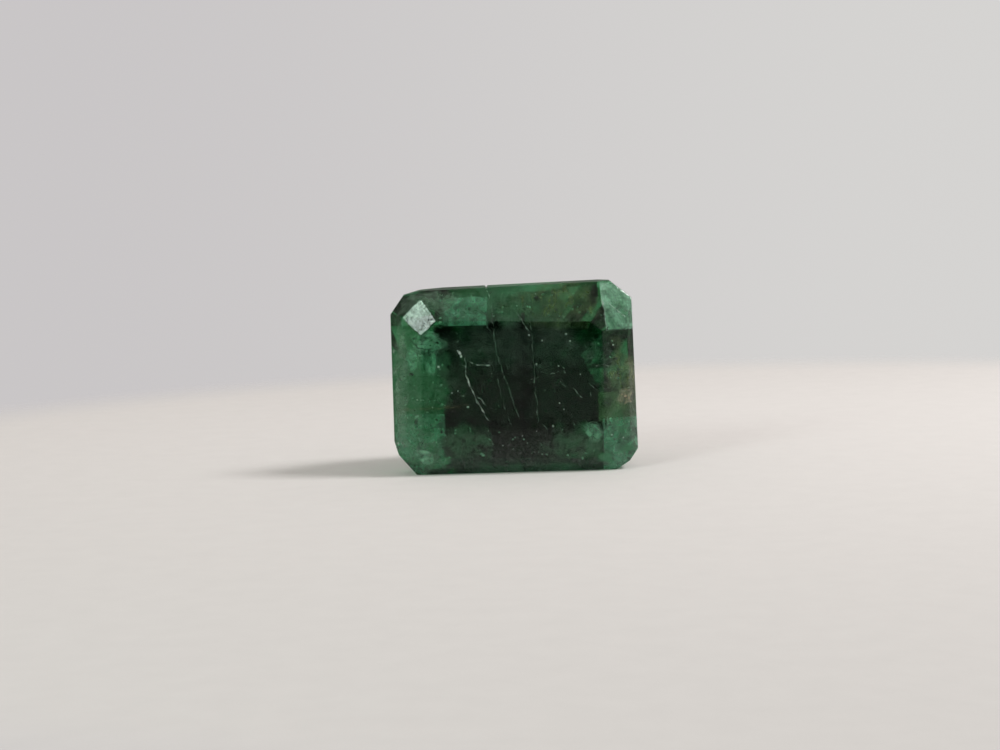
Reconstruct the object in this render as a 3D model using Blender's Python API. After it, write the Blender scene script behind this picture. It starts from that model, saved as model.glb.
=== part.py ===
"""A cut emerald, a deep octagonal step cut, standing on the flat of its lower long side.

The stone is one solid. It starts as a block of rough, and each facet is one flat cut, as a
cutter grinds it. The cut's plane is given by the lines or points of the finished stone that it
passes through.

Frame: X runs along the long side, Y runs from the table at the front to the keel at the back,
and Z is up. The origin is under the middle of the stone, at the height of the surface it
stands on.
"""

import math

import bmesh
import bpy
from mathutils import Vector

# Every length below is in millimetres and every angle in degrees. MM turns them into metres.
MM = 0.001

# The girdle seen from the front, as (X, Z), clockwise from the lower left. Each point is under the
# name of the edge that starts there. The corners are cut, and three have a second small flat.
GIRDLE = {
    "lower_left": (-4.95, 0.00),
    "lower_left_worn": (-5.80, 1.02),
    "left": (-6.01, 1.72),
    "upper_left": (-6.01, 7.97),
    "upper_left_worn": (-5.34, 8.90),
    "top": (-4.55, 9.10),
    "upper_right": (4.80, 9.32),
    "right": (5.84, 8.48),
    "lower_right_worn": (6.01, 1.04),
    "lower_right": (5.60, 0.42),
    "bottom": (4.93, 0.00),
}
GIRDLE_THICKNESS = 2.0
# Along the bottom the girdle is left this much thicker at the back, so that the stone can stand.
FOOT_EXTRA = 0.95

# The crown is a narrow bezel, then a flatter step, then the table. BEZEL is the line where the
# first gives way to the second, seen from the front and named as the girdle is. It isn't quite
# parallel to the girdle. STEP_REACH is how far in from that line each side of the table is.
BEZEL_HEIGHT = 0.45
BEZEL = {
    "lower_left": (-4.35, 0.43),
    "left": (-5.55, 1.50),
    "upper_left": (-5.45, 7.84),
    "top": (-4.48, 8.71),
    "upper_right": (4.55, 8.41),
    "right": (5.59, 7.51),
    "lower_right": (5.62, 1.55),
    "bottom": (4.45, 0.48),
}
CROWN_HEIGHT = 0.95
STEP_REACH = {
    "lower_left": 1.25,
    "left": 0.95,
    "upper_left": 1.28,
    "top": 1.02,
    "upper_right": 1.25,
    "right": 1.25,
    "lower_right": 1.25,
    "bottom": 1.80,
}

# The pavilion is a band of facets round three sides, with four corner facets, down to a
# rectangle, and a hipped roof on that rectangle that ends in the keel. Along the bottom one facet
# runs from the girdle to the keel. The roof's ends face slightly downwards.
BAND_DEPTH = 2.2
ROOF_LEFT, ROOF_RIGHT = -3.45, 4.30
ROOF_TOP = 7.25
ROOF_SLOPE_SIDES = 44.5
ROOF_SLOPE_ENDS = 45.5
ROOF_END_LEAN = 4.0

ROUGH_SIDE = 60.0
STONE_COLOUR = (0.02, 0.16, 0.08, 1.0)

# The height at which the bottom facet is as deep as the band, and the keel's depth, where the
# bottom facet meets the top one. With these, Y is counted from the middle of the whole stone.
FALL = math.tan(math.radians(ROOF_SLOPE_SIDES))
ROOF_BOTTOM = (BAND_DEPTH - FOOT_EXTRA) / FALL
KEEL_DEPTH = BAND_DEPTH + FALL * (ROOF_TOP - ROOF_BOTTOM) / 2
FRONT_Y = (CROWN_HEIGHT - GIRDLE_THICKNESS - KEEL_DEPTH) / 2
REAR_Y = FRONT_Y + GIRDLE_THICKNESS


def clear_scene():
    for obj in list(bpy.data.objects):
        bpy.data.objects.remove(obj)


def grind(stone, point, outward):
    """Cuts the stone flat along a plane and closes the cut with one face."""
    everything = stone.verts[:] + stone.edges[:] + stone.faces[:]
    cut = bmesh.ops.bisect_plane(
        stone, geom=everything, dist=1e-6, plane_co=point, plane_no=outward, clear_outer=True
    )
    rim = [part for part in cut["geom_cut"] if isinstance(part, bmesh.types.BMEdge)]
    if rim:
        bmesh.ops.contextual_create(stone, geom=rim)


def grind_through(stone, first, second, third):
    """Grinds a facet of the pavilion, which faces the back, along the plane through three points."""
    outward = (second - first).cross(third - first).normalized()
    grind(stone, first, outward if outward.y > 0 else -outward)


def edges(outline):
    """Each edge of an outline as its name, its start, its end and its outward normal."""
    points = [Vector(point) for point in outline.values()]
    for name, start, end in zip(outline, points, points[1:] + points[:1]):
        along = (end - start).normalized()
        yield name, start, end, Vector((-along.y, along.x))


def on_girdle(side, x=None, z=None):
    """The point at this X, or this Z, on the rear rim of a straight side of the girdle."""
    start, end = next((start, end) for name, start, end, _ in edges(GIRDLE) if name == side)
    share = (x - start.x) / (end.x - start.x) if z is None else (z - start.y) / (end.y - start.y)
    point = start.lerp(end, share)
    return Vector((point.x, REAR_Y, point.y))


def grind_crown_facet(stone, start, outward, reach, height):
    """Grinds a facet that holds a line of the bezel and has this height this far in from it. A
    negative reach is outwards."""
    rise = height - BEZEL_HEIGHT
    normal = Vector((outward.x * rise, -reach, outward.y * rise)).normalized()
    grind(stone, Vector((start.x, FRONT_Y - BEZEL_HEIGHT, start.y)), normal if reach > 0 else -normal)


def cut_girdle_and_crown(stone):
    grind(stone, Vector((0, FRONT_Y - CROWN_HEIGHT, 0)), Vector((0, -1, 0)))
    middles = {}
    for name, start, end, outward in edges(GIRDLE):
        grind(stone, Vector((start.x, 0, start.y)), Vector((outward.x, 0, outward.y)))
        middles[name] = (start + end) / 2
    for name, start, _, outward in edges(BEZEL):
        width = (middles[name] - start).dot(outward)
        grind_crown_facet(stone, start, outward, -width, 0)
        grind_crown_facet(stone, start, outward, STEP_REACH[name], CROWN_HEIGHT)


def cut_pavilion_bands(stone):
    """Each side facet runs straight to the roof's rectangle, and each corner facet takes a square."""
    left, right = on_girdle("top", x=ROOF_LEFT), on_girdle("top", x=ROOF_RIGHT)
    grind_through(stone, left, right, Vector((ROOF_LEFT, REAR_Y + BAND_DEPTH, ROOF_TOP)))
    for side, x in (("left", ROOF_LEFT), ("right", ROOF_RIGHT)):
        low, high = on_girdle(side, z=ROOF_BOTTOM), on_girdle(side, z=ROOF_TOP)
        grind_through(stone, low, high, Vector((x, REAR_Y + BAND_DEPTH, ROOF_BOTTOM)))
    for end, x in (("left", ROOF_LEFT), ("right", ROOF_RIGHT)):
        for side, z in (("bottom", ROOF_BOTTOM), ("top", ROOF_TOP)):
            inner = Vector((x, REAR_Y + BAND_DEPTH, z))
            grind_through(stone, inner, on_girdle(side, x=x), on_girdle(end, z=z))


def cut_pavilion_roof(stone):
    for z, way in ((ROOF_BOTTOM, -1), (ROOF_TOP, 1)):
        slope = math.radians(ROOF_SLOPE_SIDES)
        grind(stone, Vector((0, REAR_Y + BAND_DEPTH, z)), Vector((0, math.cos(slope), way * math.sin(slope))))
    for x, way in ((ROOF_LEFT, -1), (ROOF_RIGHT, 1)):
        slope, lean = math.radians(ROOF_SLOPE_ENDS), math.radians(ROOF_END_LEAN)
        outward = Vector((way * math.sin(slope), math.cos(slope), -math.tan(lean))).normalized()
        grind(stone, Vector((x, REAR_Y + BAND_DEPTH, (ROOF_BOTTOM + ROOF_TOP) / 2)), outward)


def cut_stone():
    """The whole stone as a bmesh, in millimetres."""
    stone = bmesh.new()
    bmesh.ops.create_cube(stone, size=ROUGH_SIDE)
    cut_girdle_and_crown(stone)
    cut_pavilion_bands(stone)
    cut_pavilion_roof(stone)
    bmesh.ops.recalc_face_normals(stone, faces=stone.faces)
    return stone


def stone_material():
    material = bpy.data.materials.new("emerald")
    material.use_nodes = True
    shader = material.node_tree.nodes["Principled BSDF"]
    shader.inputs["Base Color"].default_value = STONE_COLOUR
    shader.inputs["Roughness"].default_value = 0.08
    shader.inputs["Metallic"].default_value = 0.0
    shader.inputs["IOR"].default_value = 1.577
    return material


def main():
    clear_scene()
    collection = bpy.data.collections.new("cut_emerald")
    bpy.context.scene.collection.children.link(collection)
    stone = cut_stone()
    bmesh.ops.scale(stone, vec=Vector((MM, MM, MM)), verts=stone.verts)
    mesh = bpy.data.meshes.new("emerald")
    stone.to_mesh(mesh)
    stone.free()
    mesh.materials.append(stone_material())
    collection.objects.link(bpy.data.objects.new("emerald", mesh))


main()
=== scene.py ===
"""A cut emerald standing on a pale table, seen close up.

The stone is one see-through piece with worn edges, a notch and chips, and inside it lie the
things that give an emerald its look: open cracks, clouds, flakes and specks. Among them are dark
sheets of painted shade, and pale sheets and lines of painted highlight and reflection.

Lengths are in millimetres unless a name says otherwise, and MM turns them into metres. The scales
of noises are per metre, and pixels are those of the photograph.
"""

import math
import random

import bmesh
import bpy
from mathutils import Matrix, Vector, noise


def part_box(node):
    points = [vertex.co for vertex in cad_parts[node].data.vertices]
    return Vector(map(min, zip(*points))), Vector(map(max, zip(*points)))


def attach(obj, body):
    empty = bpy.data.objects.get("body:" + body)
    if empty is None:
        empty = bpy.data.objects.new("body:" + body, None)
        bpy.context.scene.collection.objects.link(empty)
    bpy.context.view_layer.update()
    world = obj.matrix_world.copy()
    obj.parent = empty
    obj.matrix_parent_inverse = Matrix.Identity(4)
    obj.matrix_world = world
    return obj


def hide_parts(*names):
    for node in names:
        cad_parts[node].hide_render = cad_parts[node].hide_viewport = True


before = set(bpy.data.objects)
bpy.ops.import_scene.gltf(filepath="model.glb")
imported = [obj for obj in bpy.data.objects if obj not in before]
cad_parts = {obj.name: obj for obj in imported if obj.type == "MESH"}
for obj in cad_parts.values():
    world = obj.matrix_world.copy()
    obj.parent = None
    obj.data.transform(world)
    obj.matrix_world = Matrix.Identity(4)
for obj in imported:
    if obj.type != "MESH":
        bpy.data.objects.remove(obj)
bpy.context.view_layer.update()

MM = 0.001
RANDOM = random.Random(7)

TABLE_Y = (Vector(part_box("emerald")[0]) / MM).y
BODY = "root"

# The camera looks at the middle of the stone's table, which the photograph shows at STONE_PX,
# STONE_PY.
IMAGE_WIDTH, IMAGE_HEIGHT = 1000, 750
STONE_PX, STONE_PY = 514.5, 380.2
STONE_CENTRE_Z = 4.66
CAMERA_DISTANCE = 115.3
CAMERA_ELEVATION = 5.5
CAMERA_ROLL = -1.6
LENS, SENSOR = 85.0, 36.0
MM_PER_PIXEL = CAMERA_DISTANCE * SENSOR / LENS / IMAGE_WIDTH


def link(obj):
    bpy.context.scene.collection.objects.link(obj)
    return obj


def mesh_object(name, mesh_in_mm, material):
    """An object from a bmesh in millimetres, which it frees."""
    bmesh.ops.scale(mesh_in_mm, vec=Vector((MM, MM, MM)), verts=mesh_in_mm.verts)
    mesh = bpy.data.meshes.new(name)
    mesh_in_mm.to_mesh(mesh)
    mesh_in_mm.free()
    mesh.materials.append(material)
    return link(bpy.data.objects.new(name, mesh))


# Shader nodes

def fill_inputs(tree, node, inputs):
    """Sets each input to a value, or links it to a socket."""
    for name, value in inputs.items():
        if isinstance(value, bpy.types.NodeSocket):
            tree.links.new(value, node.inputs[name])
        else:
            node.inputs[name].default_value = value


def add_node(tree, kind, inputs):
    node = tree.nodes.new("ShaderNode" + kind)
    fill_inputs(tree, node, inputs)
    return node


def add_math(tree, operation, first, second=0.0):
    node = add_node(tree, "Math", {0: first, 1: second})
    node.operation = operation
    return node.outputs[0]


def add_ramp(tree, value, start, end, low=0.0, high=1.0):
    """Goes smoothly from low to high while the value goes from start to end."""
    node = tree.nodes.new("ShaderNodeMapRange")
    node.interpolation_type = "SMOOTHSTEP"
    fill_inputs(tree, node, {
        "Value": value, "From Min": start, "From Max": end, "To Min": low, "To Max": high,
    })
    return node.outputs["Result"]


def add_mix(tree, share, first, second):
    """Mixes two colours, each a socket or three values."""
    node = tree.nodes.new("ShaderNodeMix")
    node.data_type = "RGBA"
    ends = [end if isinstance(end, bpy.types.NodeSocket) else (*end, 1) for end in (first, second)]
    fill_inputs(tree, node, {"Factor": share, "A": ends[0], "B": ends[1]})
    return node.outputs["Result"]


def add_noise(tree, scale, detail=4.0, roughness=0.5, stretch=(1, 1, 1)):
    """Noise over the object's own coordinates, which are in metres."""
    place = add_node(tree, "TexCoord", {}).outputs["Object"]
    stretched = add_node(tree, "Mapping", {"Vector": place, "Scale": stretch})
    texture = add_node(tree, "TexNoise", {
        "Vector": stretched.outputs["Vector"], "Scale": scale, "Detail": detail, "Roughness": roughness,
    })
    return texture.outputs["Fac"]


def add_parts(tree, coordinates):
    """The X, Y and Z of one kind of texture coordinates."""
    place = add_node(tree, "TexCoord", {}).outputs[coordinates]
    return add_node(tree, "SeparateXYZ", {"Vector": place}).outputs


def new_material(name):
    material = bpy.data.materials.new(name)
    material.use_nodes = True
    return material, material.node_tree, material.node_tree.nodes["Principled BSDF"]


# The camera

def camera_pose():
    elevation = math.radians(CAMERA_ELEVATION)
    target = Vector((0, TABLE_Y, STONE_CENTRE_Z))
    place = target + Vector((0, -math.cos(elevation), math.sin(elevation))) * CAMERA_DISTANCE
    aim = (target - place).to_track_quat("-Z", "Y").to_matrix()
    return place, aim @ Matrix.Rotation(math.radians(CAMERA_ROLL), 3, "Z")


def make_camera():
    data = bpy.data.cameras.new("camera")
    data.lens, data.sensor_width = LENS, SENSOR
    data.clip_start = 1 * MM
    data.shift_x = (IMAGE_WIDTH / 2 - STONE_PX) / IMAGE_WIDTH
    data.shift_y = (STONE_PY - IMAGE_HEIGHT / 2) / IMAGE_WIDTH
    camera = link(bpy.data.objects.new("camera", data))
    place, turn = camera_pose()
    camera.location = place * MM
    camera.rotation_euler = turn.to_euler()
    bpy.context.scene.camera = camera


# The stone's refractive index, and how it absorbs light, per metre
IOR = 1.577
ABSORPTION_COLOUR = (0.10, 0.60, 0.34)
ABSORPTION_DENSITY = 330.0


def inside(px, py, depth):
    """The point this deep behind the table of the stone that shows at a pixel."""
    place, turn = camera_pose()
    per_pixel = SENSOR / LENS / IMAGE_WIDTH
    sight = turn @ Vector(((px - STONE_PX) * per_pixel, (STONE_PY - py) * per_pixel, -1))
    sight.normalize()
    surface = place + sight * ((TABLE_Y - place.y) / sight.y)
    bent = Vector((sight.x, 0, sight.z)) / IOR
    bent.y = math.sqrt(1 - bent.length_squared)
    return surface + bent * (depth / bent.y)


# The pale table is round, and fades into the background between the two distances of FLOOR_FADE
# from its middle. Its colour is a little darker towards the front and lighter at the back, which is
# painted shading.
FLOOR_COLOUR = (0.80, 0.768, 0.752)
FLOOR_GRAIN_SHADE = 0.94
FLOOR_GRAIN_SCALE = 700
FLOOR_MIDDLE = Vector((12.0, -6.0, 0.0))
FLOOR_FADE = (51.0, 65.0)
FLOOR_FRONT, FLOOR_BACK = -60.0, 45.0
FLOOR_SHADES = (0.84, 1.15)


def floor_material():
    material, tree, shader = new_material("pale_table")
    grain = add_noise(tree, FLOOR_GRAIN_SCALE, detail=6)
    darker = [channel * FLOOR_GRAIN_SHADE for channel in FLOOR_COLOUR]
    bump = add_node(tree, "Bump", {"Height": grain, "Distance": 0.0001, "Strength": 0.4})
    # Painted shading: the colour darkens towards the front and lightens towards the back.
    shade = add_ramp(tree, add_parts(tree, "Object")["Y"], FLOOR_FRONT * MM, FLOOR_BACK * MM, *FLOOR_SHADES)
    away = tree.nodes.new("ShaderNodeVectorMath")
    away.operation = "LENGTH"
    tree.links.new(add_node(tree, "TexCoord", {}).outputs["Object"], away.inputs[0])
    tone = tree.nodes.new("ShaderNodeVectorMath")
    tone.operation = "SCALE"
    fill_inputs(tree, tone, {0: add_mix(tree, grain, darker, FLOOR_COLOUR), "Scale": shade})
    start, end = (distance * MM for distance in FLOOR_FADE)
    fill_inputs(tree, shader, {
        "Base Color": tone.outputs[0],
        "Normal": bump.outputs["Normal"],
        "Roughness": 0.85,
        "Alpha": add_ramp(tree, away.outputs["Value"], start, end, 1, 0),
    })
    return material


def make_floor():
    disc = bmesh.new()
    bmesh.ops.create_circle(disc, cap_ends=True, segments=96, radius=FLOOR_FADE[1])
    floor = mesh_object("floor", disc, floor_material())
    floor.location = FLOOR_MIDDLE * MM


# Each light's place, its side, its power in watts and its colour. The glint shows in the small
# diamond facet at the upper left.
LIGHTS = {
    "key": ((120, -30, 140), 52, 0.187, (1, 0.994, 0.985)),
    "glint": ((-68, -102, 66), 37, 0.0395, (0.90, 1, 0.965)),
}


def make_lights():
    for name, (place, side, power, colour) in LIGHTS.items():
        data = bpy.data.lights.new(name, "AREA")
        data.shape, data.size, data.size_y = "RECTANGLE", side * MM, side * MM
        data.energy, data.color = power, colour
        light = link(bpy.data.objects.new(name, data))
        light.location = Vector(place) * MM
        aim = Vector((0, TABLE_Y, STONE_CENTRE_Z)) * MM - light.location
        light.rotation_euler = aim.to_track_quat("-Z", "Y").to_euler()


# The room is dark towards the camera, and turns pale where one part of a direction goes through
# one of these ranges, from dark to pale.
DARK_ROOM, PALE_ROOM = (0.008, 0.009, 0.009), (0.452, 0.430, 0.408)
PALE_RANGES = (
    ("Y", -0.5, -0.15), ("X", -0.44, -0.56), ("X", 0.26, 0.42), ("Z", 0.30, 0.50), ("Z", -0.30, -0.50),
)
# What shows behind the table, from the left to the right
BACKGROUND_LEFT, BACKGROUND_RIGHT = (0.585, 0.565, 0.570), (0.665, 0.655, 0.642)
BACKGROUND_RANGE = (-0.2, 0.2)


def make_world():
    world = bpy.data.worlds.new("room")
    bpy.context.scene.world = world
    world.use_nodes = True
    tree = world.node_tree
    direction = add_parts(tree, "Generated")
    pale = 0.0
    for part, dark_end, pale_end in PALE_RANGES:
        pale = add_math(tree, "MAXIMUM", pale, add_ramp(tree, direction[part], dark_end, pale_end))
    room = add_mix(tree, pale, DARK_ROOM, PALE_ROOM)
    across = add_ramp(tree, direction["X"], *BACKGROUND_RANGE)
    shown = add_mix(tree, across, BACKGROUND_LEFT, BACKGROUND_RIGHT)
    rays = add_node(tree, "LightPath", {})
    colour = add_mix(tree, rays.outputs["Is Camera Ray"], room, shown)
    tree.links.new(colour, tree.nodes["Background"].inputs["Color"])


# The stone's surface. Its roughness varies over the worn facets, and the girdle is frosted. Grain
# is how much it mirrors in the finest scratches and between them. The table mirrors less than the
# other facets, a painted shade that dims the floor's reflection in it.
FACET_ROUGHNESS = (0.03, 0.13)
GIRDLE_ROUGHNESS = 0.60
WEAR_SCALE, GRAIN_SCALE = 900, 8200
GRAIN = (0.45, 1.0)
TABLE_MIRROR = 0.40
GEM_TINT, MIRROR_TINT = (0.93, 1.0, 0.96), (0.95, 1, 0.97)


def gem_material():
    """The girdle's normals are level, and the table's points straight forward, so the Y part of a
    normal tells them from the other facets."""
    material, tree, shader = new_material("emerald_gem")
    wear = add_noise(tree, WEAR_SCALE, detail=8, roughness=0.7)
    polish = add_ramp(tree, wear, 0.40, 0.75, *FACET_ROUGHNESS)
    facing = add_math(tree, "ABSOLUTE", add_parts(tree, "Normal")["Y"])
    frost = add_ramp(tree, facing, 0.04, 0.10, GIRDLE_ROUGHNESS, 0.0)
    grain = add_noise(tree, GRAIN_SCALE, detail=3, roughness=0.7)
    grainy = add_ramp(tree, grain, 0.42, 0.58, *GRAIN)
    # The table's lower mirroring is painted shade, which dims the floor's reflection in it.
    mirror = add_math(tree, "MULTIPLY", grainy, add_ramp(tree, facing, 0.95, 0.99, 1.0, TABLE_MIRROR))
    fill_inputs(tree, shader, {
        "Base Color": (*GEM_TINT, 1),
        "Transmission Weight": 1.0,
        "IOR": IOR,
        "Roughness": add_math(tree, "MAXIMUM", polish, frost),
        "Specular Tint": add_mix(tree, mirror, (0, 0, 0), MIRROR_TINT),
    })
    absorb = add_node(tree, "VolumeAbsorption", {
        "Color": (*ABSORPTION_COLOUR, 1), "Density": ABSORPTION_DENSITY,
    })
    tree.links.new(absorb.outputs["Volume"], tree.nodes["Material Output"].inputs["Volume"])
    return material


CROWN_EDGE_WEAR = 0.035
CROWN_HEIGHT = 0.95
# An edge whose ends are both in front of this belongs to the crown.
CROWN_BACK_Y = TABLE_Y + CROWN_HEIGHT + 0.05

# Chips out of the stone's rim, each as a pixel, how deep it lies behind the table, and its radii
# across, along the depth and upwards
CHIPS = {
    "notch": (485.6, 284.6, 1.95, (0.09, 1.75, 0.28)),
    "top_chip": (584.0, 281.2, 0.85, (0.20, 0.22, 0.06)),
    "top_nick": (548.0, 283.0, 0.90, (0.09, 0.16, 0.05)),
    "right_nick": (636.5, 372.0, 0.95, (0.05, 0.20, 0.11)),
    "right_chip": (640.5, 400.0, 0.95, (0.06, 0.24, 0.16)),
    "left_nick": (394.0, 352.0, 0.95, (0.05, 0.18, 0.10)),
    "left_chip": (399.5, 444.0, 0.95, (0.08, 0.20, 0.09)),
    "bottom_nick": (508.0, 470.5, 0.95, (0.14, 0.20, 0.05)),
}


def chip_shapes():
    """Small uneven lumps, all in one mesh, that are taken out of the stone."""
    lumps = bmesh.new()
    for px, py, depth, radii in CHIPS.values():
        made = bmesh.ops.create_icosphere(lumps, subdivisions=2, radius=1)
        centre = inside(px, py, depth)
        for vert in made["verts"]:
            size = 1 + 0.25 * noise.noise(vert.co * 1.3 + centre)
            vert.co = centre + Vector([part * radius * size for part, radius in zip(vert.co, radii)])
    return lumps


def make_stone():
    """The node's own facets with worn crown edges, less the chips."""
    stone = bmesh.new()
    stone.from_mesh(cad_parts["emerald"].data)
    bmesh.ops.remove_doubles(stone, verts=stone.verts, dist=1e-7)
    bmesh.ops.scale(stone, vec=Vector((1 / MM,) * 3), verts=stone.verts)
    bmesh.ops.dissolve_limit(stone, angle_limit=math.radians(0.5), verts=stone.verts, edges=stone.edges)
    crown = [edge for edge in stone.edges if max(vert.co.y for vert in edge.verts) < CROWN_BACK_Y]
    bmesh.ops.bevel(
        stone, geom=crown, offset=CROWN_EDGE_WEAR, offset_type="OFFSET", segments=2, affect="EDGES",
        profile=0.5, clamp_overlap=True,
    )
    material = gem_material()
    piece = mesh_object("emerald_stone", stone, material)
    tool = mesh_object("chips", chip_shapes(), material)
    cut = piece.modifiers.new("chips", "BOOLEAN")
    cut.operation, cut.solver, cut.object = "DIFFERENCE", "EXACT", tool
    evaluated = piece.evaluated_get(bpy.context.evaluated_depsgraph_get())
    chipped = bpy.data.meshes.new_from_object(evaluated)
    piece.modifiers.clear()
    piece.data = chipped
    bpy.data.objects.remove(tool)
    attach(piece, BODY)
    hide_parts("emerald")


# The finishes of what lies inside the stone, among them dark sheets of painted shade and pale
# sheets of painted highlight and reflection. Cover is how opaque one is at its thinnest and at its
# thickest, which a noise of this scale decides.
FINISHES = {
    "pale_crack": dict(colour=(0.88, 0.95, 0.90), roughness=0.35, cover=(0.08, 0.95), scale=3000, thin=0.42),
    "faint_crack": dict(colour=(0.46, 0.60, 0.51), roughness=0.45, cover=(0.0, 0.70), scale=3800, thin=0.45),
    "dark_crack": dict(colour=(0.03, 0.05, 0.035), roughness=0.6, cover=(0.3, 0.95), scale=1200),
    "iron_stain": dict(colour=(0.30, 0.17, 0.07), roughness=0.7, cover=(0.1, 0.75), scale=1800),
    "white_speck": dict(colour=(0.97, 1.0, 0.98), roughness=0.25, cover=(0.9, 1.0), scale=900),
    "pale_flake": dict(colour=(0.46, 0.76, 0.58), roughness=0.5, cover=(0.2, 0.75), scale=3000),
    "dark_flake": dict(colour=(0.02, 0.04, 0.03), roughness=0.5, cover=(0.5, 0.95), scale=2000),
    "tan_spot": dict(colour=(0.72, 0.52, 0.36), roughness=0.6, cover=(0.6, 1.0), scale=2500),
    "mist": dict(colour=(0.22, 0.48, 0.29), roughness=0.8, cover=(0.0, 0.46), scale=2600, shape="round"),
    "bright_mist": dict(
        colour=(0.54, 0.92, 0.70), roughness=0.7, cover=(0.05, 0.70), scale=2600, shape="round",
    ),
    "block_mist": dict(
        colour=(0.36, 0.74, 0.54), roughness=0.8, cover=(0.10, 0.58), scale=2200, shape="block",
    ),
    # The pale sheet of the painted reflection in the upper right corner.
    "reflection_block_sheet": dict(
        colour=(0.70, 0.97, 0.82), roughness=0.7, cover=(0.25, 0.85), scale=2000, shape="block",
    ),
    "olive_mist": dict(
        colour=(0.30, 0.31, 0.13), roughness=0.8, cover=(0.05, 0.68), scale=2300, shape="round",
        stretch=(1.6, 1, 0.8),
    ),
    "tan_mist": dict(colour=(0.80, 0.62, 0.46), roughness=0.7, cover=(0.1, 0.85), scale=3000, shape="round"),
    "grey_mist": dict(
        colour=(0.46, 0.60, 0.47), roughness=0.8, cover=(0.05, 0.50), scale=2400, shape="round",
    ),
    # A dark sheet put where the middle of the stone lies in shade: painted shade.
    "painted_shade_sheet": dict(
        colour=(0.02, 0.05, 0.03), roughness=0.9, cover=(0.25, 0.90), scale=2400, shape="round",
    ),
    # A dark sheet put along the bottom of the stone where its facets show light: painted shade.
    "painted_shade_block": dict(
        colour=(0.03, 0.07, 0.045), roughness=0.9, cover=(0.45, 0.9), scale=2000, shape="block",
    ),
    "veil": dict(colour=(0.42, 0.50, 0.44), roughness=0.8, cover=(0.02, 0.115), scale=2600, shape="round"),
    "moss_mist": dict(
        colour=(0.24, 0.46, 0.18), roughness=0.8, cover=(0.10, 0.50), scale=2300, shape="block",
    ),
}
RAGGED_SCALE, RAGGEDNESS = 1300, 0.7


def inclusion_material(name, colour, roughness, cover, scale, shape=None, stretch=(1, 1, 1), thin=0.35):
    """It is thinnest where the noise is below thin. A shape thins it out towards its sides, "round"
    softly and raggedly, and "block" at the very edge."""
    material, tree, shader = new_material(name)
    texture = add_noise(tree, scale, detail=6, roughness=0.7, stretch=stretch)
    alpha = add_ramp(tree, texture, thin, 0.67, *cover)
    if shape:
        place = add_parts(tree, "Generated")
        across, up = (
            add_math(tree, "ABSOLUTE", add_math(tree, "SUBTRACT", place[axis], 0.5)) for axis in "XZ"
        )
    if shape == "block":
        kept = add_ramp(tree, add_math(tree, "MAXIMUM", across, up), 0.45, 0.495, 1, 0)
        alpha = add_math(tree, "MULTIPLY", alpha, kept)
    if shape == "round":
        squares = [add_math(tree, "MULTIPLY", part, part) for part in (across, up)]
        off_centre = add_math(tree, "SQRT", add_math(tree, "ADD", *squares))
        uneven = add_math(tree, "SUBTRACT", add_noise(tree, RAGGED_SCALE), 0.5)
        ragged = add_math(tree, "ADD", off_centre, add_math(tree, "MULTIPLY", uneven, RAGGEDNESS))
        kept = add_ramp(tree, ragged, 0.26, 0.46, 1, 0)
        alpha = add_math(tree, "MULTIPLY", alpha, kept)
    fill_inputs(tree, shader, {"Base Color": (*colour, 1), "Roughness": roughness, "Alpha": alpha})
    return material


# Nothing inside the stone comes closer to its surface than this.
SKIN = 0.04


def stone_planes():
    """A point and the outward normal of each facet, in millimetres."""
    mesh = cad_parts["emerald"].data
    return [(mesh.vertices[face.vertices[0]].co / MM, face.normal.copy()) for face in mesh.polygons]


PLANES = stone_planes()
MATERIALS = {name: inclusion_material(name, **finish) for name, finish in FINISHES.items()}


def put_inside(name, mesh_in_mm, finish):
    """Cuts off what would stick out of the stone, and adds the rest."""
    for point, outward in PLANES:
        if all((vert.co - point).dot(outward) < -SKIN for vert in mesh_in_mm.verts):
            continue
        everything = mesh_in_mm.verts[:] + mesh_in_mm.edges[:] + mesh_in_mm.faces[:]
        cut = bmesh.ops.bisect_plane(
            mesh_in_mm, geom=everything, dist=1e-5, plane_co=point - outward * SKIN, plane_no=outward,
            clear_outer=True,
        )
        rim = [part for part in cut["geom_cut"] if isinstance(part, bmesh.types.BMEdge)]
        bmesh.ops.holes_fill(mesh_in_mm, edges=rim, sides=0)
    piece = mesh_object(name, mesh_in_mm, MATERIALS[finish])
    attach(piece, BODY)


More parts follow.
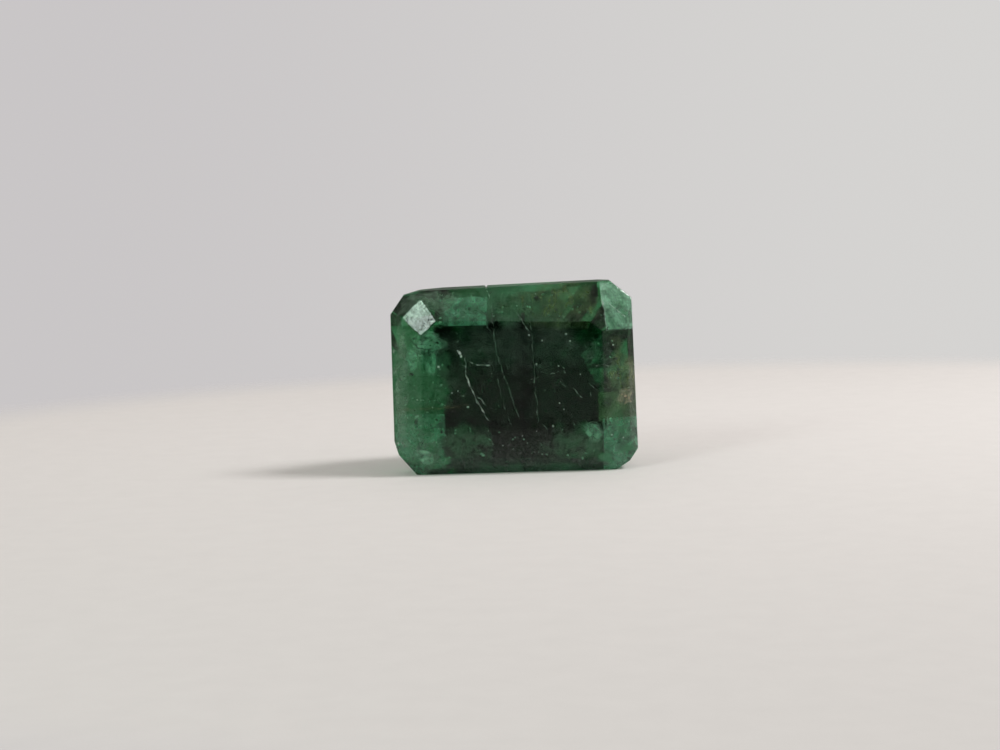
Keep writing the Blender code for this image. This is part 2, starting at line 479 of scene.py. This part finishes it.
# Each crack shows along a line of pixels and starts this deep behind the table. Its width is in
# pixels, and it runs back into the stone by its reach.
CRACKS = {
    "bright_crack": dict(
        line=[(465, 358), (466, 375), (474.5, 397), (488.5, 421)],
        depth=0.06, width=1.7, reach=0.5, finish="pale_crack",
    ),
    "long_crack": dict(
        line=[
            (485.8, 291), (488.4, 297), (493, 328), (496, 352.5), (499.5, 365), (503, 375), (508, 388),
            (518, 417),
        ],
        depth=0.06, width=1.0, reach=0.9, finish="faint_crack", slant=1.2,
    ),
    "long_crack_branch": dict(
        line=[(497.6, 378), (501, 397), (506, 411), (511.5, 425.5)],
        depth=0.08, width=0.9, reach=0.6, finish="faint_crack",
    ),
    "upright_crack": dict(
        line=[(530, 324), (532, 338), (534, 371), (538, 423)],
        depth=0.12, width=0.9, reach=0.8, finish="faint_crack",
    ),
    "arc": dict(
        line=[(466, 361), (472, 364), (479, 365.4), (490, 365.4)],
        depth=0.10, width=0.8, reach=0.06, finish="pale_crack",
    ),
    "speck_line": dict(
        line=[(508.7, 302.5), (518, 316), (531, 334)],
        depth=0.12, width=1.0, reach=0.3, finish="faint_crack",
    ),
    "slant_crack": dict(
        line=[(573, 388), (578, 394), (583, 399)], depth=0.15, width=1.0, reach=0.3, finish="faint_crack",
    ),
    "fine_line_right": dict(
        line=[(595.6, 366), (602, 364.5), (608.6, 365.4)],
        depth=0.12, width=0.9, reach=0.06, finish="pale_crack",
    ),
    "dark_diagonal": dict(
        line=[(616, 345), (626, 356), (634.5, 369)], depth=0.2, width=2.6, reach=0.2, finish="dark_crack",
    ),
    "left_dark_line": dict(
        line=[(410, 338), (420, 348), (432, 352), (450, 349)],
        depth=0.5, width=2.0, reach=0.1, finish="dark_crack",
    ),
    # Two pale lines drawn as cracks that are painted highlights: the lit outer edge of the upper right
    # corner facet, and the left edge of the bright reflection in that corner.
    "upper_right_rim_highlight": dict(
        line=[(603.8, 300), (614, 309), (625, 317.5)],
        depth=0.4, width=1.1, reach=0.3, finish="pale_crack",
    ),
    "upper_right_block_highlight": dict(
        line=[(600.5, 287), (603, 308), (605.6, 331)],
        depth=0.5, width=1.6, reach=0.3, finish="pale_crack",
    ),
    "low_left_edge": dict(
        line=[(402, 412.5), (424, 412.2), (445, 413.6)],
        depth=0.9, width=1.2, reach=0.06, finish="faint_crack",
    ),
    "brown_streak": dict(
        line=[(400, 411), (425, 408), (440, 409), (470, 404)],
        depth=0.9, width=3.4, reach=0.08, finish="iron_stain",
    ),
    "bright_crack_branch": dict(
        line=[(474, 396), (481, 399), (486, 406)], depth=0.1, width=0.8, reach=0.2, finish="pale_crack",
    ),
}
# A crack has a cross-section every so many pixels, and wanders about this many pixels off its
# line. The scales are those of the noises for its wandering and its width, per pixel.
CRACK_STEP = 1.3
CRACK_WANDER = 1.5
SLOW_SCALE, QUICK_SCALE, WIDTH_SCALE = 0.16, 0.6, 0.25

# Areas of pixels, each as its left, top, right and bottom
SCRATCH_AREAS = [(444, 322, 596, 425)]
SCRATCH_COUNT = 22
SCRATCH_LENGTHS = (5, 16)


def follow(points, step):
    """Points every so many pixels along a line, each with how far along it is, from 0 to 1."""
    lengths = [math.dist(a, b) for a, b in zip(points, points[1:])]
    total = sum(lengths)
    count = max(3, round(total / step))
    for k in range(count + 1):
        left = total * k / count
        for a, b, length in zip(points, points[1:], lengths):
            if left <= length or (a, b) == (points[-2], points[-1]):
                share = min(1, left / length)
                yield a[0] + (b[0] - a[0]) * share, a[1] + (b[1] - a[1]) * share, k / count
                break
            left -= length


def add_crack(sheet, line, depth, width, reach, slant=0.6):
    """A thin wedge whose front edge shows along a line of pixels, and which runs back into the
    stone. Its width comes and goes, and slant is how many pixels it drifts sideways."""
    along = Vector(line[-1]) - Vector(line[0])
    across = Vector((abs(along.y), -along.x if along.y > 0 else along.x)).normalized()
    rings = []
    for px, py, share in follow(line, CRACK_STEP):
        wander = noise.noise(Vector((px * SLOW_SCALE, py * SLOW_SCALE, depth * 5)))
        wander += 0.5 * noise.noise(Vector((px * QUICK_SCALE, py * QUICK_SCALE, depth * 9)))
        uneven = noise.noise(Vector((px * WIDTH_SCALE, py * WIDTH_SCALE, 3.1)))
        thick = width * max(0.05, 0.45 + 1.6 * uneven)
        thick *= min(1, 0.15 + 6 * min(share, 1 - share))
        middle = Vector((px, py)) + CRACK_WANDER * wander * across
        near, far = middle - across * thick / 2, middle + across * thick / 2
        tip = middle + across * slant + Vector((0, CRACK_WANDER * wander))
        rings.append([
            sheet.verts.new(inside(*near, depth)),
            sheet.verts.new(inside(*far, depth)),
            sheet.verts.new(inside(*tip, depth + reach)),
        ])
    for ring, following in zip(rings, rings[1:]):
        for k in range(3):
            sheet.faces.new((ring[k], ring[(k + 1) % 3], following[(k + 1) % 3], following[k]))
    sheet.faces.new(rings[0][::-1])
    sheet.faces.new(rings[-1])


def add_scratches(sheets):
    """Fine short cracks just under the table, at random."""
    for _ in range(SCRATCH_COUNT):
        left, top, right, bottom = RANDOM.choice(SCRATCH_AREAS)
        start = Vector((RANDOM.uniform(left, right), RANDOM.uniform(top, bottom)))
        angle = RANDOM.choice((1, 1, -0.4)) * RANDOM.uniform(0.5, 1.4)
        end = start + RANDOM.uniform(*SCRATCH_LENGTHS) * Vector((math.cos(angle), math.sin(angle)))
        middle = (start + end) / 2 + Vector((0, RANDOM.uniform(-1, 1)))
        add_crack(sheets, [tuple(start), tuple(middle), tuple(end)], depth=0.08, width=0.5, reach=0.12)


def make_cracks():
    for name, crack in CRACKS.items():
        sheet = bmesh.new()
        add_crack(sheet, **{key: value for key, value in crack.items() if key != "finish"})
        bmesh.ops.recalc_face_normals(sheet, faces=sheet.faces)
        put_inside(name, sheet, crack["finish"])
    sheets = bmesh.new()
    add_scratches(sheets)
    bmesh.ops.recalc_face_normals(sheets, faces=sheets.faces)
    put_inside("scratches", sheets, "faint_crack")


# Specks, each as a pixel, how deep it lies behind the table, and its size in pixels
WHITE_SPECKS = [
    (459.7, 353.0, 0.10, 5.6), (461.2, 356.2, 0.12, 3.6), (457.6, 350.8, 0.15, 2.2),
    (438.4, 367.0, 0.4, 3.0), (553.0, 426.0, 0.5, 2.8), (559.6, 403.0, 0.4, 1.8),
    (558.6, 366.0, 0.5, 1.8), (536.5, 364.0, 0.4, 2.2), (566.0, 334.0, 0.6, 2.6), (570.0, 341.0, 0.6, 3.0),
    (542.0, 340.5, 0.5, 2.2), (468.0, 407.0, 0.5, 3.0), (612.0, 345.0, 0.6, 2.6), (611.0, 434.0, 0.6, 2.4),
    (623.0, 437.5, 0.6, 2.6), (529.0, 335.0, 0.4, 2.4), (452.0, 393.0, 0.5, 1.8), (458.0, 391.0, 0.5, 1.6),
]
TAN_SPOTS = [
    (626.0, 396.0, 0.4, 6.0), (630.0, 398.5, 0.5, 4.0), (621.5, 395.0, 0.5, 3.5), (634.0, 396.0, 0.7, 3.0),
]

# Areas of pixels, each as its left, top, right and bottom: the green border, and the dark middle
GREEN_AREAS = [
    (438, 292, 600, 324), (400, 338, 446, 412), (402, 414, 446, 466), (602, 340, 636, 465),
    (448, 428, 600, 460),
]
DARK_AREA = (446, 325, 601, 425)

# Flakes at random in some areas: how many, how deep, how large, and their finish
FLAKES = {
    "pale_flakes": (GREEN_AREAS, 190, (0.4, 2.0), (0.05, 0.22), "pale_flake"),
    "dark_flakes": (GREEN_AREAS, 130, (0.5, 1.8), (0.06, 0.32), "dark_flake"),
    "dust": (GREEN_AREAS + [DARK_AREA], 45, (0.1, 1.2), (0.025, 0.08), "white_speck"),
}
FLAKE_FLATNESS = 0.25


def add_grain(grains, centre, size, flatness):
    """An uneven lump of this size in millimetres, turned at random."""
    made = bmesh.ops.create_icosphere(grains, subdivisions=1, radius=1)
    stretch = [RANDOM.uniform(0.5, 1.0) * size / 2 for _ in range(3)]
    stretch[1] *= flatness
    axis = Vector((RANDOM.uniform(-1, 1), RANDOM.uniform(-1, 1), RANDOM.uniform(0.1, 1)))
    turn = Matrix.Rotation(RANDOM.uniform(0, math.pi), 3, axis.normalized())
    for vert in made["verts"]:
        rough = 1 + RANDOM.uniform(-0.2, 0.2)
        vert.co = centre + turn @ Vector([part * side * rough for part, side in zip(vert.co, stretch)])


def make_specks(name, spots, finish):
    grains = bmesh.new()
    for px, py, depth, size in spots:
        add_grain(grains, inside(px, py, depth), size * MM_PER_PIXEL, 1)
    put_inside(name, grains, finish)


def make_grains():
    make_specks("white_specks", WHITE_SPECKS, "white_speck")
    make_specks("tan_spots", TAN_SPOTS, "tan_spot")
    for name, (areas, count, depths, sizes, finish) in FLAKES.items():
        flakes = bmesh.new()
        for _ in range(count):
            left, top, right, bottom = RANDOM.choice(areas)
            spot = inside(RANDOM.uniform(left, right), RANDOM.uniform(top, bottom), RANDOM.uniform(*depths))
            add_grain(flakes, spot, RANDOM.uniform(*sizes), FLAKE_FLATNESS)
        put_inside(name, flakes, finish)


def patch(left, top, right, bottom):
    return (left, top), (right, top), (right, bottom), (left, bottom)


# Each cloud fills the patch between four pixels, clockwise from the upper left, and lies this deep
# behind the table.
CLOUDS = {
    "upper_centre_veil": (patch(424, 314, 622, 376), 0.4, "veil"),
    "right_block": (patch(598, 391, 640, 421), 1.55, "moss_mist"),
    # A pale sheet filling the upper right corner block: a painted reflection of the corner facet.
    "corner_reflection_sheet": ([(599, 282), (634, 280), (637, 330), (604.5, 331)], 1.3, "reflection_block_sheet"),
    "top_left_cloud": (patch(428, 288, 500, 336), 1.6, "mist"),
    "top_left_patch": (patch(442, 302, 488, 326), 1.4, "block_mist"),
    "top_middle_cloud": (patch(482, 288, 544, 331), 1.9, "mist"),
    "top_right_cloud": (patch(492, 272, 616, 330), 2.0, "olive_mist"),
    "upper_left_haze": (patch(388, 280, 462, 322), 1.25, "grey_mist"),
    "left_haze": (patch(388, 300, 412, 460), 1.1, "grey_mist"),
    "left_cloud": (patch(388, 326, 460, 424), 1.7, "mist"),
    "left_blob_1": (patch(407, 345, 425, 377), 1.4, "bright_mist"),
    "left_blob_2": (patch(423, 344, 439, 380), 1.5, "bright_mist"),
    "left_curl": ([(408, 328), (440, 332), (454, 352), (420, 358)], 1.4, "bright_mist"),
    "lower_left_cloud": ([(400, 413), (446, 414), (447, 474), (400, 474)], 1.6, "block_mist"),
    "lower_left_haze": (patch(402, 436, 450, 478), 1.2, "mist"),
    # A pale sheet shaped as the lower left corner facet's glint: painted highlight.
    "lower_left_glint": ([(409, 447), (418, 447), (438, 453), (430, 469)], 0.9, "bright_mist"),
    "lower_right_cloud": ([(602, 419), (642, 414), (642, 474), (603, 474)], 1.5, "block_mist"),
    "low_right_cloud": (patch(538, 418, 612, 464), 1.8, "mist"),
    "low_right_blob": ([(580, 422), (600, 419), (606, 436), (592, 443)], 1.3, "bright_mist"),
    "low_left_cloud": (patch(436, 418, 500, 468), 1.8, "mist"),
    "right_cloud": (patch(600, 330, 642, 424), 1.7, "olive_mist"),
    "right_edge_cloud": (patch(620, 346, 644, 410), 1.1, "olive_mist"),
    "tan_cloud": (patch(612, 387, 642, 406), 0.9, "tan_mist"),
    # These four dark sheets are painted shade, which darkens the middle and the bottom of the stone.
    "left_shade": (patch(430, 312, 532, 440), 2.6, "painted_shade_sheet"),
    "right_shade": (patch(512, 308, 640, 446), 2.75, "painted_shade_sheet"),
    "low_shade": (patch(446, 456, 604, 476), 1.3, "painted_shade_block"),
    "low_left_shade": (patch(426, 465, 450, 477), 1.3, "painted_shade_block"),
}
CLOUD_CELLS = 14
CLOUD_THICKNESS = 0.05
CLOUD_RIPPLE = 0.3
# How far a round cloud's sheet reaches from the middle of its patch, in widths of the patch. Its
# corners, where it is clear, are left out.
ROUND_REACH = 0.56


def cloud_layer(sheet, corners, depth, back):
    """One side of a cloud, row by row, this far behind its front."""
    upper_left, upper_right, lower_right, lower_left = (Vector(corner) for corner in corners)
    layer = []
    for row in range(CLOUD_CELLS + 1):
        left = upper_left.lerp(lower_left, row / CLOUD_CELLS)
        right = upper_right.lerp(lower_right, row / CLOUD_CELLS)
        for column in range(CLOUD_CELLS + 1):
            spot = left.lerp(right, column / CLOUD_CELLS)
            ripple = CLOUD_RIPPLE * noise.noise(Vector((spot.x * 0.09, spot.y * 0.09, depth)))
            layer.append(sheet.verts.new(inside(spot.x, spot.y, depth + back + ripple)))
    return layer


def cloud_cells(finish):
    """The row and column of each cell of a cloud's sheet that is there."""
    reach = CLOUD_CELLS * (1 if FINISHES[finish]["shape"] == "block" else ROUND_REACH)
    middle = (CLOUD_CELLS - 1) / 2
    return [
        (row, column) for row in range(CLOUD_CELLS) for column in range(CLOUD_CELLS)
        if math.hypot(row - middle, column - middle) < reach
    ]


def make_cloud(name, corners, depth, finish):
    """A thin rippled sheet, closed round its rim."""
    sheet = bmesh.new()
    front, rear = (cloud_layer(sheet, corners, depth, back) for back in (0, CLOUD_THICKNESS))
    side = CLOUD_CELLS + 1
    cells = cloud_cells(finish)
    for row, column in cells:
        k = row * side + column
        square = (k, k + 1, k + 1 + side, k + side)
        sheet.faces.new([front[i] for i in square])
        sheet.faces.new([rear[i] for i in reversed(square)])
        around = ((row - 1, column), (row, column + 1), (row + 1, column), (row, column - 1))
        for neighbour, i, j in zip(around, square, square[1:] + square[:1]):
            if neighbour not in cells:
                sheet.faces.new((front[i], front[j], rear[j], rear[i]))
    bmesh.ops.delete(sheet, geom=[vert for vert in sheet.verts if not vert.link_faces], context="VERTS")
    bmesh.ops.recalc_face_normals(sheet, faces=sheet.faces)
    put_inside(name, sheet, finish)


def make_clouds():
    for name, cloud in CLOUDS.items():
        make_cloud(name, *cloud)


bpy.context.scene.view_settings.view_transform = "Standard"
make_camera()
make_floor()
make_lights()
make_world()
make_stone()
make_cracks()
make_grains()
make_clouds()
